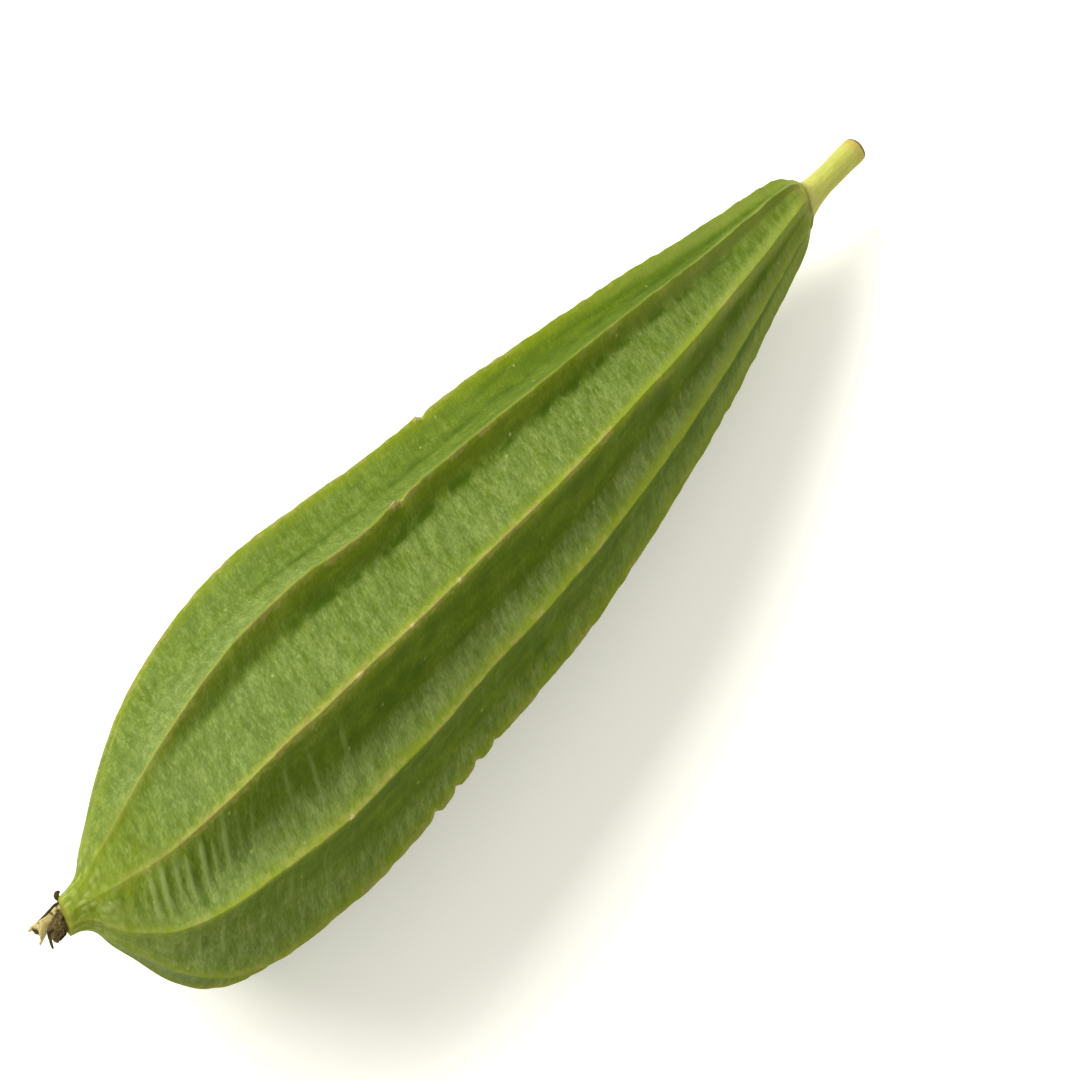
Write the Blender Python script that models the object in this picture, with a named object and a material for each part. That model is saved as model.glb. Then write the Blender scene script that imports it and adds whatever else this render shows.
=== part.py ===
# Ridge gourd (angled luffa), picked and lying on a flat surface.
#
# Every piece is drawn in the fruit's own frame, in metres: x runs along it from the blossom end
# at 0 to the stem, and an angle round it is counted from its top towards -y. The whole gourd is
# then pitched and rolled into the attitude in which it comes to rest on two of its ridges.

import math

import bmesh
import bpy
import numpy as np
from mathutils import Matrix, Vector

MM = 0.001

# Fruit, in mm: distance from the blossom end, radius over the ridges, sideways bow.
FRUIT_STATIONS = (
    (0.0, 3.8, 0.4),
    (2.5, 4.3, 0.7),
    (5.0, 5.7, 1.4),
    (7.5, 9.6, 2.2),
    (11.0, 14.1, 3.2),
    (17.0, 21.6, 4.8),
    (26.0, 28.7, 5.6),
    (40.0, 33.8, 5.5),
    (58.0, 36.0, 5.4),
    (78.0, 35.2, 5.8),
    (104.0, 32.6, 6.1),
    (135.0, 29.8, 6.3),
    (166.0, 25.0, 5.5),
    (197.0, 18.5, 3.9),
    (220.0, 13.2, 2.0),
    (233.0, 10.2, 0.7),
    (239.5, 8.2, 0.2),
    (243.0, 5.8, 0.1),
    (244.5, 4.0, 0.0),
)
FRUIT_LENGTH = FRUIT_STATIONS[-1][0] * MM
FRUIT_STEPS = 2  # rings from one station to the next

RIDGE_COUNT = 10
RIDGE_DRIFT = (-1.3, 1.2, -1.0, 1.0, 0.0, 0.0, 0.0, 0.0, 0.0, -3.0)  # degrees off even spacing
RIDGE_DEPTH = 0.146  # of a valley below the ridges, as a share of the radius
CREST_WIDTH = 1.2 * MM
WIDEST_CREST = math.radians(4.0)  # where the fruit is slender
VALLEY_POINTS = 4  # round the fruit, from one crest to the next
RIDGE_RISE = (-8.0 * MM, 37.0 * MM)  # the ridges stand up over this stretch
RIDGE_FALL = (FRUIT_LENGTH - 9.0 * MM, FRUIT_LENGTH + 3.0 * MM)  # and sink over this one
LEAST_RIDGE = 0.15

# A cross-section isn't quite square to the axis: its side at LEAN_ANGLE sits nearer the blossom.
LEAN = 0.45
LEAN_ANGLE = math.radians(107.0)
FACE_ANGLE = LEAN_ANGLE - math.pi / 2

# Stem, in mm: distance from the fruit, radius, sideways bow.
STEM_STATIONS = (
    (0.3, 3.9, 0.0),
    (1.6, 3.55, 0.0),
    (3.6, 3.3, -0.1),
    (7.0, 3.1, -0.2),
    (12.0, 3.1, -0.3),
    (17.0, 3.2, -0.4),
    (20.5, 3.2, -0.4),
    (21.6, 2.95, -0.4),
)
STEM_STEPS = 1
STEM_SIDES = 20
STEM_RIBS = 5
STEM_RIB_HEIGHT = 0.04  # as a share of the radius
STEM_CUT_LEAN = 0.05
STEM_LEAN_FADE = 4.0 * MM

# Dried flower, in mm: distance along the axis (it hangs past the blossom end, at negative x),
# distance sideways, distance towards the upper face, half width, half thickness.
FLORAL_TUBE = (
    (0.32, -1.35, 0.0, 0.85, 0.75),
    (-0.4, -1.6, 0.05, 0.80, 0.70),
    (-1.8, -1.6, 0.1, 0.80, 0.65),
    (-3.6, -1.35, 0.2, 0.85, 0.60),
    (-5.6, -1.15, 0.2, 1.15, 0.75),
    (-7.2, -0.75, 0.1, 1.60, 0.95),
    (-8.7, -0.25, 0.0, 1.75, 0.85),
)
SEPAL_STRIP = (
    (0.95, -2.75, 0.0, 0.20, 0.50),
    (0.1, -2.95, 0.05, 0.24, 0.60),
    (-1.2, -3.0, 0.1, 0.26, 0.60),
    (-3.0, -2.75, 0.2, 0.22, 0.50),
    (-4.6, -2.6, 0.1, 0.14, 0.25),
)
SEPAL_HOOK = (
    (1.15, -3.45, 0.0, 0.24, 0.45),
    (0.7, -3.95, 0.05, 0.34, 0.50),
    (0.85, -4.5, 0.1, 0.36, 0.45),
    (1.5, -4.85, 0.1, 0.30, 0.40),
    (2.15, -4.75, 0.1, 0.20, 0.28),
)
SEPAL_THREAD = (
    (-5.3, 0.45, 0.2, 0.22, 0.22),
    (-5.4, 1.4, 0.3, 0.22, 0.22),
    (-5.7, 2.4, 0.3, 0.20, 0.20),
    (-6.1, 3.4, 0.3, 0.14, 0.14),
)
DRIED_SIDES = 10
DRIED_STEPS = 2

# Withered petals, one crumpled lump beside the floral tube, in mm.
PETALS_MIDDLE = (-2.15, 1.75, 0.0)
PETALS_HALF_SIZE = (1.6, 1.85, 1.8)  # along the axis, sideways, towards the upper face
PETALS_CRUMPLE = 0.10
PETALS_DETAIL = 3

# Attitude at rest, and how far the two ridges underneath are pressed flat.
REST_PITCH = math.radians(5.3)
REST_ROLL = math.radians(2.3)
FLATTENING = 0.35 * MM

# Base colour and roughness.
MATERIALS = {
    "skin": ((0.13, 0.24, 0.035), 0.55),
    "stem": ((0.50, 0.50, 0.10), 0.60),
    "dried_flower": ((0.36, 0.28, 0.10), 0.85),
    "withered_petals": ((0.07, 0.05, 0.02), 0.90),
}


def clear_scene():
    for existing in list(bpy.data.objects):
        bpy.data.objects.remove(existing, do_unlink=True)


def across(angle):
    """The unit vector square to the fruit's axis, at an angle from its top towards -y."""
    return Vector((0.0, -math.sin(angle), math.cos(angle)))


def lean_over(point, lean):
    """Slides a point along the axis, as far as its leaning cross-section takes it there."""
    return point - Vector((lean * point.dot(across(LEAN_ANGLE)), 0.0, 0.0))


def smooth_curve(stations, steps):
    """Rows along a centripetal Catmull-Rom curve through the stations."""
    rows = np.array(stations)
    ends = np.vstack([2 * rows[0] - rows[1], rows, 2 * rows[-1] - rows[-2]])
    spans = np.sqrt(np.linalg.norm(np.diff(ends, axis=0), axis=1))
    curve = []
    for i in range(len(rows) - 1):
        before, start, stop, after = ends[i : i + 4]
        first, span, last = spans[i : i + 3]
        leave = span * ((start - before) / first - (stop - before) / (first + span))
        arrive = span * ((after - stop) / last - (after - start) / (span + last))
        for step in range(steps):
            s = step / steps
            curve.append(
                (2 * s**3 - 3 * s**2 + 1) * start
                + (s**3 - 2 * s**2 + s) * (leave + stop - start)
                + (3 * s**2 - 2 * s**3) * stop
                + (s**3 - s**2) * (arrive + stop - start)
            )
    curve.append(rows[-1])
    return [row.tolist() for row in curve]


def ridge_angles():
    """Where each ridge stands, the first one once more at the end, a turn further on."""
    spacing = 360 / RIDGE_COUNT
    angles = [(i - 0.5) * spacing + drift for i, drift in enumerate(RIDGE_DRIFT)]
    return [math.radians(angle) for angle in [*angles, angles[0] + 360]]


def section(radius):
    """Angles round a cross-section, each with its rise: 1 on a crest, 0 in mid-valley."""
    crest = min(CREST_WIDTH / 2 / radius, WIDEST_CREST)
    ridges = ridge_angles()
    points = []
    for here, there in zip(ridges, ridges[1:]):
        middle = (here + there) / 2
        half = (there - here) / 2 - crest
        for step in range(VALLEY_POINTS + 2):
            offset = half * (2 * step / (VALLEY_POINTS + 1) - 1)
            points.append((middle + offset, abs(offset) / half))
    return points


def ridge_depth(x):
    rise = (x - RIDGE_RISE[0]) / (RIDGE_RISE[1] - RIDGE_RISE[0])
    fall = (RIDGE_FALL[1] - x) / (RIDGE_FALL[1] - RIDGE_FALL[0])
    return RIDGE_DEPTH * min(1.0, max(LEAST_RIDGE, min(rise, fall)))


def fruit_rings():
    rings = []
    for x, radius, bow in smooth_curve(FRUIT_STATIONS, FRUIT_STEPS):
        x, radius, bow = x * MM, radius * MM, bow * MM
        depth = ridge_depth(x)
        ring = []
        for angle, rise in section(radius):
            reach = radius * (1 - depth * (1 - rise**2))
            ring.append(lean_over(reach * across(angle), LEAN) + Vector((x, -bow, 0.0)))
        rings.append(ring)
    return rings


def stem_rings():
    rings = []
    for x, radius, bow in smooth_curve(STEM_STATIONS, STEM_STEPS):
        x, radius, bow = x * MM, radius * MM, bow * MM
        lean = STEM_CUT_LEAN + (LEAN - STEM_CUT_LEAN) * math.exp(-x / STEM_LEAN_FADE)
        ring = []
        for step in range(STEM_SIDES):
            angle = math.tau * step / STEM_SIDES
            reach = radius * (1 + STEM_RIB_HEIGHT * math.cos(STEM_RIBS * angle))
            place = Vector((FRUIT_LENGTH + x, -bow, 0.0))
            ring.append(lean_over(reach * across(angle), lean) + place)
        rings.append(ring)
    return rings


def blossom_point(x, sideways, facewards):
    """A point by the blossom end, from its millimetres along, sideways and towards the face."""
    middle = Vector((x * MM, -FRUIT_STATIONS[0][2] * MM, 0.0))
    return middle + sideways * MM * across(LEAN_ANGLE) + facewards * MM * across(FACE_ANGLE)


def dried_rings(stations):
    """Oval rings, each square to the line through the middles on either side of it."""
    rows = smooth_curve(stations, DRIED_STEPS)
    middles = [blossom_point(*row[:3]) for row in rows]
    rings = []
    for i, row in enumerate(rows):
        along = middles[min(i + 1, len(middles) - 1)] - middles[max(i - 1, 0)]
        side = across(FACE_ANGLE).cross(along).normalized()
        out = along.cross(side).normalized()
        ring = []
        for step in range(DRIED_SIDES):
            angle = math.tau * step / DRIED_SIDES
            width = row[3] * MM * math.cos(angle)
            thickness = row[4] * MM * math.sin(angle)
            ring.append(middles[i] + width * side + thickness * out)
        rings.append(ring)
    return rings


def material(name):
    made = bpy.data.materials.get(name)
    if made is None:
        colour, roughness = MATERIALS[name]
        made = bpy.data.materials.new(name)
        made.use_nodes = True
        shader = made.node_tree.nodes["Principled BSDF"]
        shader.inputs["Base Color"].default_value = (*colour, 1.0)
        shader.inputs["Roughness"].default_value = roughness
    return made


def add_object(name, bm, material_name, holder):
    """Turns a bmesh into a smooth-shaded object that the holder carries."""
    bm.normal_update()
    bmesh.ops.recalc_face_normals(bm, faces=bm.faces)
    mesh = bpy.data.meshes.new(name)
    bm.to_mesh(mesh)
    bm.free()
    mesh.materials.append(material(material_name))
    mesh.shade_smooth()
    mesh.set_sharp_from_angle(angle=math.radians(45))
    made = bpy.data.objects.new(name, mesh)
    made.parent = holder
    bpy.context.collection.objects.link(made)
    return made


def loft(rings):
    """One closed body through rings of equal count, its ends capped."""
    bm = bmesh.new()
    loops = [[bm.verts.new(point) for point in ring] for ring in rings]
    count = len(loops[0])
    for near, far in zip(loops, loops[1:]):
        for i in range(count):
            j = (i + 1) % count
            bm.faces.new((near[i], near[j], far[j], far[i]))
    for loop in (loops[0], loops[-1]):
        middle = bm.verts.new(sum((vert.co for vert in loop), Vector()) / count)
        for i in range(count):
            bm.faces.new((loop[i], loop[(i + 1) % count], middle))
    return bm


def crumpled_petals():
    """A small crumpled ball, which leans as the blossom end does."""
    bm = bmesh.new()
    bmesh.ops.create_icosphere(bm, subdivisions=PETALS_DETAIL, radius=1.0)
    for vert in bm.verts:
        u, v, w = vert.co
        folds = math.sin(5 * v + 2 * w) + math.sin(6 * w - 4 * u) + math.sin(7 * u + 3 * v)
        u, v, w = (vert.co * (1 + PETALS_CRUMPLE * folds / 3)).to_tuple()
        size_x, size_side, size_face = PETALS_HALF_SIZE
        x, side, face = PETALS_MIDDLE
        side += v * size_side
        vert.co = blossom_point(x + u * size_x - LEAN * side, side, face + w * size_face)
    return bm


def flatten_underside(bm, attitude):
    """Cuts off what would reach below the surface, and closes the cuts with flat faces."""
    to_fruit = attitude.inverted()
    cut = bmesh.ops.bisect_plane(
        bm,
        geom=[*bm.verts, *bm.edges, *bm.faces],
        dist=1e-7,
        plane_co=to_fruit @ Vector((0.0, 0.0, 0.0)),
        plane_no=to_fruit.to_3x3() @ Vector((0.0, 0.0, 1.0)),
        clear_inner=True,
    )
    edges = [item for item in cut["geom_cut"] if isinstance(item, bmesh.types.BMEdge)]
    bmesh.ops.holes_fill(bm, edges=edges, sides=0)


def rest_attitude(rings):
    """The gourd's place in the world: its box centred on the origin, its underside on z = 0."""
    turn = Matrix.Rotation(REST_PITCH, 4, "Y") @ Matrix.Rotation(REST_ROLL, 4, "X")
    points = np.array([turn @ point for ring in rings for point in ring])
    low, high = points.min(axis=0), points.max(axis=0)
    middle = (low + high) / 2
    return Matrix.Translation((-middle[0], -middle[1], -low[2] - FLATTENING)) @ turn


def main():
    clear_scene()
    fruit = fruit_rings()
    stem = stem_rings()
    tube = dried_rings(FLORAL_TUBE)
    attitude = rest_attitude([*fruit, *stem, *tube])

    gourd = bpy.data.objects.new("gourd", None)
    gourd.matrix_world = attitude
    bpy.context.collection.objects.link(gourd)

    skin = loft(fruit)
    flatten_underside(skin, attitude)
    add_object("fruit", skin, "skin", gourd)
    add_object("stem", loft(stem), "stem", gourd)
    add_object("floral_tube", loft(tube), "dried_flower", gourd)
    add_object("withered_petals", crumpled_petals(), "withered_petals", gourd)
    add_object("sepal_strip", loft(dried_rings(SEPAL_STRIP)), "withered_petals", gourd)
    add_object("sepal_hook", loft(dried_rings(SEPAL_HOOK)), "withered_petals", gourd)
    add_object("sepal_thread", loft(dried_rings(SEPAL_THREAD)), "withered_petals", gourd)


main()
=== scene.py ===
import math

import bmesh
import bpy
import numpy as np
from mathutils import Matrix, Vector


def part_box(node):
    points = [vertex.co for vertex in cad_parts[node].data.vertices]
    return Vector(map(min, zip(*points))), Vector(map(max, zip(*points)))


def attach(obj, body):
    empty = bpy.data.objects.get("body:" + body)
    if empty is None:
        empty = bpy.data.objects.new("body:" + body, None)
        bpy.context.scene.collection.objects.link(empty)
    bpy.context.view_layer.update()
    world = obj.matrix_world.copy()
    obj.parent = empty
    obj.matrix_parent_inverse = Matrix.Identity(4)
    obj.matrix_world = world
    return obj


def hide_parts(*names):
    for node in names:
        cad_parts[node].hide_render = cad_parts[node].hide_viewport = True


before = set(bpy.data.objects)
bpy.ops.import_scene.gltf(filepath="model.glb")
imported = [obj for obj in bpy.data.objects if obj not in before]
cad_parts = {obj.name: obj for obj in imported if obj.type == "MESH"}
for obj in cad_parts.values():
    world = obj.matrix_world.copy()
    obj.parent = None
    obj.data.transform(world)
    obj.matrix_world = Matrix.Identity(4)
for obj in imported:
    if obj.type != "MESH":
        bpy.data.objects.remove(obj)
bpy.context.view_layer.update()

mm = 0.001


# the fruit's curve, ridges and attitude are the solid model's own
fruitShape = {
    # distance from the blossom end, radius over the ridges, sideways bow, all in mm
    "stations": (
        (0.0, 3.8, 0.4), (2.5, 4.3, 0.7), (5.0, 5.7, 1.4), (7.5, 9.6, 2.2), (11.0, 14.1, 3.2),
        (17.0, 21.6, 4.8), (26.0, 28.7, 5.6), (40.0, 33.8, 5.5), (58.0, 36.0, 5.4),
        (78.0, 35.2, 5.8), (104.0, 32.6, 6.1), (135.0, 29.8, 6.3), (166.0, 25.0, 5.5),
        (197.0, 18.5, 3.9), (220.0, 13.2, 2.0), (233.0, 10.2, 0.7), (239.5, 8.2, 0.2),
        (243.0, 5.8, 0.1), (244.5, 4.0, 0.0),
    ),
    "ridges": 10,
    "ridgeDrift": (-1.3, 1.2, -1.0, 1.0, 0.0, 0.0, 0.0, 0.0, 0.0, -3.0),  # degrees
    "ridgeDepth": 0.146,  # valley under ridge, share of the radius
    "leastRidge": 0.15,
    # how flat a valley's narrow steep side and its wide side are: 2 is round, less is straighter
    "sideFlatness": (1.45, 2.4),
    "narrowestSide": 0.5,  # shares of half the valley, for those two
    "widestSide": 1.5,
    "valleyRounding": 0.06,
    "lowWander": 0.09,
    "valleyDeepening": (1.0, 1.1, 1.1, 1.1, 1.0, 1.1, 1.1, 1.1, 1.1, 1.1),
    # where each valley is lowest, from -1 at the ridge before it to 1 at the ridge after it
    "valleyLow": (-0.60, 0.18, 0.12, 0.1, -0.2, 0.15, -0.1, 0.25, -0.15, -0.10),
    "ridgeRise": (-8.0, 37.0),  # mm from the blossom end
    "ridgeFall": (235.5, 247.5),
    "lean": 0.45,  # how far a section slides along the axis, per mm sideways
    "leanAngle": 107.0,  # degrees round from the top towards -y
    "pitch": 5.3,
    "roll": 2.3,
    "flattening": 0.35,  # mm pressed off the two ridges underneath
}

fruitMesh = {
    "rings": 338,
    "curveSteps": 24,  # from one station to the next
    "capRings": 6,
    "capDome": 0.6,  # mm
    "capSpacing": 1.5,  # over 1 draws the rings to the rim
    "pointsPerRidge": 28,
    "crowding": 0.8,  # 0 spaces the points evenly, 1 draws them most towards the crests
}

fruitRelief = {
    "beadHeight": 0.24,  # mm that the crest's pale bead stands proud
    "beadWidth": 0.52,
    "crestWidths": (0.75, 1.2, 1.05, 0.9, 1.0, 1.1, 1.1, 1.0, 0.9, 0.7),
    # mm along the fruit, share of the crests' own widths
    "crestGirth": ((0.0, 30.0, 60.0, 100.0, 150.0, 200.0), (0.7, 0.95, 1.0, 0.8, 0.9, 1.3)),
    "crestWander": 0.45,  # mm sideways
    "wanderRadii": (6.0, 12.0),  # mm, least radius to turn it about, and where it is whole
    "crestLumps": 0.10,
    "crestLumpWidth": 2.2,  # mm
    # noise along the fruit: mm to a cell, cells from one ridge to the next, seed
    "noises": {
        "wander": (15.0, 3.7, 11), "low": (11.0, 2.9, 15), "crest": (2.6, 4.3, 41),
        "bend": (9.0, 5.1, 31),
    },
    "lumps": 0.4,  # mm, broad swellings of the flesh
    "lumpLength": 17.0,
    "fullRelief": 14.0,  # mm of radius from which the lumps and folds have their full height
    # mm along the fruit, mm from one cross fold to the next
    "foldLength": ((0.0, 35.0, 60.0, 100.0), (3.0, 3.2, 3.8, 4.2)),
    "foldWidth": 0.25,  # share of that length
    "foldEverywhere": 0.05,  # mm
    "foldBend": 0.25,  # share of the distance between two folds
    "foldShift": 0.25,
    "foldBendAcross": 1.2,
    "foldStagger": 0.37,  # from one valley to the next
    "foldRest": 0.18,  # the height between folds, taken off all of it
    # each fold's own height, and its middle and half length across the valley: value, spread
    "foldHeights": (0.75, 0.35),
    "foldMiddles": (-0.2, 0.15),
    "foldReaches": (0.75, 0.15),
    "foldRolls": 80,  # folds in a valley before their random values repeat
    "fullFold": 0.4,  # mm, the height that has the fold's whole painted light and shade
    # valley, distance along, half length, height, all in mm; valley 0 lies past ridge 0
    "folds": (
        (1, 19.0, 13.0, 0.85), (1, 48.0, 22.0, 0.42), (1, 120.0, 40.0, 0.12),
        (2, 30.0, 26.0, 0.45), (2, 96.0, 26.0, 0.14), (2, 150.0, 30.0, 0.16),
        (0, 60.0, 60.0, 0.10), (3, 60.0, 50.0, 0.34), (4, 90.0, 60.0, 0.25),
        (6, 80.0, 70.0, 0.30), (7, 50.0, 40.0, 0.28), (8, 100.0, 60.0, 0.15),
        (9, 70.0, 70.0, 0.10),
    ),
    "nickWidth": 1.5,  # mm
    "scarWidth": 0.8,
    "nickScar": 0.6,
    # ridge, distance along, half length, depth of the nick, all in mm
    "nicks": (
        (0, 97.0, 1.3, 1.0), (1, 102.0, 0.8, 0.6), (9, 117.0, 1.2, 0.7), (3, 84.0, 1.0, 0.9),
        (3, 91.0, 0.9, 1.0), (3, 98.0, 1.0, 0.9), (3, 104.0, 0.8, 0.6), (2, 70.0, 0.9, 0.4),
        (6, 90.0, 1.2, 0.8), (7, 140.0, 1.0, 0.7), (8, 60.0, 1.2, 0.8),
    ),
    "tagWidth": 0.7,  # mm
    # ridge, distance along, half length, height of the torn dry tag, all in mm
    "tags": (
        (0, 94.6, 1.7, 0.5), (1, 100.3, 0.9, 0.7), (1, 85.0, 0.8, 0.4), (1, 69.0, 1.5, 0.4),
        (2, 58.0, 0.8, 0.4), (9, 115.0, 0.9, 0.5), (5, 130.0, 1.2, 0.6), (6, 60.0, 1.2, 0.6),
    ),
    # ridge, distance along, half length, mm that its line sags towards the next ridge
    "sags": (
        (0, 84.0, 11.0, 1.3), (2, 10.0, 9.0, 2.8), (2, 40.0, 12.0, -1.2), (3, 10.0, 9.0, 1.2),
        (3, 42.0, 20.0, -1.2), (9, 36.0, 28.0, -2.6),
    ),
    # painted shade: how dark a green each valley's steeper side is, below 0 where that is the side
    # after its lowest line, and how dark the painted shade of the crease along that line is
    "valleyShade": (0.75, 1.1, 1.35, -0.4, 0.6, -0.4, 0.5, -0.6, 0.5, 0.25),
    "valleyCrease": (1.5, 0.1, 0.8, 0.3, 0.4, 0.3, 0.3, 0.4, 0.3, 1.3),
    "creaseWidth": 1.3,  # mm
    "creaseShift": 0.04,  # towards the dark side, share of half the valley
    # how sharply the painted shade, the painted sheen and the shade's stronger green end across a
    # valley
    "flankEdge": 6.0,
    "sheenEdge": 4.0,
    "shadeGreenEdge": 3.0,
    "flankShadeGreen": 0.85,  # stronger green of the painted shade on the dark sides
    "growthGirth": 8.0,  # mm, the radius that the flecks at the blossom end are laid out on
    # how far past its lowest line each valley's painted shade reaches, as shares of half the
    # valley, and where along the fruit it does
    "shadeReach": (0.0, 0.15, 0.45, 0.0, 0.0, 0.0, 0.0, 0.0, 0.0, 0.0),
    "reachStretch": ((45.0, 85.0, 130.0, 165.0), (0.0, 1.0, 1.0, 0.0)),
    "tipSheen": ((20.0, 60.0), (1.0, 0.0)),  # along the fruit, the painted sheen on a valley's dark side
    "shadeStart": ((25.0, 75.0), (0.15, 1.0)),  # mm along the fruit, share
    # how much of each ridge's crest has dried tan, and where along the fruit it has
    "dryCrests": (0.65, 0.95, 0.4, 0.5, 0.5, 0.7, 0.8, 0.5, 0.7, 0.35),
    "dryStretch": ((0.0, 12.0, 40.0, 100.0, 170.0), (0.1, 0.8, 1.0, 0.85, 0.15)),
    # valley, distance along, half length, share, how far across the valley it reaches: painted
    # shade in a stronger green that covers the painted sheen
    "shadeGreens": ((2, 110.0, 60.0, 1.15, 0.65), (9, 170.0, 65.0, 1.1, 2.0)),
    # valley, distance along, half length, share: a painted grey sheen on the side after its lowest
    # line
    "paintedSheens": (
        (0, 70.0, 70.0, 0.4), (0, 165.0, 45.0, 0.6), (1, 15.0, 22.0, 0.7), (1, 100.0, 110.0, 1.4),
        (1, 195.0, 40.0, 0.8), (2, 25.0, 38.0, 1.3), (2, 120.0, 75.0, 0.4),
        (3, 100.0, 110.0, 0.9), (4, 100.0, 110.0, 1.0), (5, 100.0, 110.0, 0.7),
        (6, 90.0, 110.0, 1.0), (7, 110.0, 110.0, 0.9), (8, 90.0, 110.0, 0.7), (9, 45.0, 50.0, 0.7),
    ),
    "seed": 11,
}


def across(angle):
    return np.stack([np.zeros_like(angle), -np.sin(angle), np.cos(angle)], axis=-1)


leanAngle = math.radians(fruitShape["leanAngle"])
leanSide = across(np.array(leanAngle))
faceSide = across(np.array(leanAngle - math.pi / 2))


def smoothCurve(stations, steps):
    # centripetal Catmull-Rom, as in the solid model
    rows = np.array(stations, float)
    ends = np.vstack([2 * rows[0] - rows[1], rows, 2 * rows[-1] - rows[-2]])
    spans = np.sqrt(np.linalg.norm(np.diff(ends, axis=0), axis=1))
    s = (np.arange(steps) / steps)[:, None]
    curve = []
    for i in range(len(rows) - 1):
        before, start, stop, after = ends[i:i + 4]
        first, span, last = spans[i:i + 3]
        leave = span * ((start - before) / first - (stop - before) / (first + span)) + stop - start
        arrive = span * ((after - stop) / last - (after - start) / (span + last)) + stop - start
        curve.append(
            (2 * s**3 - 3 * s**2 + 1) * start + (s**3 - 2 * s**2 + s) * leave
            + (3 * s**2 - 2 * s**3) * stop + (s**3 - s**2) * arrive
        )
    return np.vstack([*curve, rows[-1:]])


def evenRows(curve, count):
    # rows at even distances along the curve, measured over its first two columns
    steps = np.linalg.norm(np.diff(curve[:, :2], axis=0), axis=1)
    length = np.concatenate([[0], np.cumsum(steps)])
    wanted = np.linspace(0, length[-1], count)
    return np.stack([np.interp(wanted, length, column) for column in curve.T], axis=-1)


def latticeNoise(points, seed):
    # smooth value noise from -1 to 1, one lattice cell to a unit
    size = 48
    values = np.random.default_rng(seed).uniform(-1, 1, (size, size, size))
    points = np.asarray(points, float)
    cell = np.floor(points).astype(int)
    blend = points - cell
    blend = blend * blend * (3 - 2 * blend)
    total = 0
    for corner in np.ndindex(2, 2, 2):
        weight = np.prod(np.where(corner, blend, 1 - blend), axis=-1)
        x, y, z = ((cell + corner) % size).transpose(-1, *range(cell.ndim - 1))
        total = total + weight * values[x, y, z]
    return total


def fractalNoise(points, seed, octaves=3):
    points = np.asarray(points, float)
    layers = [latticeNoise(points * 2.03**i + 7.3 * i, seed + i) / 2**i for i in range(octaves)]
    return sum(layers) / sum(0.5**i for i in range(octaves))


def ridgeNoise(name, x, ridge, third=0.0, octaves=3):
    # noise along the fruit that is different on every ridge or in every valley
    length, apart, seed = fruitRelief["noises"][name]
    place = np.stack(np.broadcast_arrays(x / length, ridge * apart, third), axis=-1)
    return fractalNoise(place, seed, octaves)


def bump(x, middle, half):
    return np.exp(-(((x - middle) / half) ** 2))


def loftMesh(name, rings, attributes):
    # one closed skin through rings of points, with a map laid out along and round it
    count, sides = rings.shape[:2]
    points = np.vstack([rings.reshape(-1, 3), rings[0].mean(axis=0), rings[-1].mean(axis=0)])
    here = np.arange((count - 1) * sides).reshape(count - 1, sides)
    there = np.roll(here, -1, axis=1)
    quads = np.stack([here, there, there + sides, here + sides], axis=-1).reshape(-1, 4)
    first, last = np.arange(sides), np.arange(sides) + (count - 1) * sides
    startCap = np.stack([np.roll(first, -1), first, np.full(sides, count * sides)], axis=-1)
    endCap = np.stack([last, np.roll(last, -1), np.full(sides, count * sides + 1)], axis=-1)
    mesh = bpy.data.meshes.new(name)
    mesh.from_pydata(points.tolist(), [], [*quads.tolist(), *startCap.tolist(), *endCap.tolist()])
    middles = rings.mean(axis=1)
    reach = np.linalg.norm(rings - middles[:, None], axis=-1).mean(axis=1)
    steps = np.hypot(np.linalg.norm(np.diff(middles, axis=0), axis=1), np.diff(reach))
    along = np.concatenate([[0], np.cumsum(steps)])
    along = 0.01 + 0.98 * along / along[-1]
    uAcross = np.arange(sides + 1) / sides
    quadU = np.stack([uAcross[:-1], uAcross[1:], uAcross[1:], uAcross[:-1]], axis=-1)
    quadV = np.stack([along[:-1], along[:-1], along[1:], along[1:]], axis=-1)
    grid = np.stack(np.broadcast_arrays(quadU[None], quadV[:, None]), axis=-1).reshape(-1, 2)
    half = (uAcross[:-1] + uAcross[1:]) / 2
    startU = np.stack([uAcross[1:], uAcross[:-1], half], axis=-1).reshape(-1)
    endU = np.stack([uAcross[:-1], uAcross[1:], half], axis=-1).reshape(-1)
    startV = np.tile([along[0], along[0], 0.0], sides)
    endV = np.tile([along[-1], along[-1], 1.0], sides)
    caps = np.stack([np.concatenate([startU, endU]), np.concatenate([startV, endV])], axis=-1)
    mesh.uv_layers.new(name="OFBake").data.foreach_set("uv", np.vstack([grid, caps]).ravel())
    for label, values in attributes.items():
        flat = values.reshape(count * sides, -1)
        flat = np.vstack([flat, flat[:sides].mean(axis=0), flat[-sides:].mean(axis=0)])
        kind = "FLOAT_VECTOR" if flat.shape[1] == 3 else "FLOAT"
        layer = mesh.attributes.new(label, kind, "POINT")
        layer.data.foreach_set("vector" if kind == "FLOAT_VECTOR" else "value", flat.ravel())
    mesh.shade_smooth()
    mesh.validate()
    piece = bpy.data.objects.new(name, mesh)
    bpy.context.scene.collection.objects.link(piece)
    return piece


def standFor(piece, node, material):
    # the piece is shown in place of its plain solid
    piece.data.materials.clear()
    piece.data.materials.append(material)
    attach(piece, "root")
    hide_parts(node)
    print(f"{piece.name}: {len(piece.data.polygons)} faces")


def addNode(tree, kind, inputs=None, **settings):
    node = tree.nodes.new(kind)
    for key, value in settings.items():
        setattr(node, key, value)
    for key, value in (inputs or {}).items():
        if isinstance(value, bpy.types.NodeSocket):
            tree.links.new(value, node.inputs[key])
        else:
            node.inputs[key].default_value = value
    return node


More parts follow.
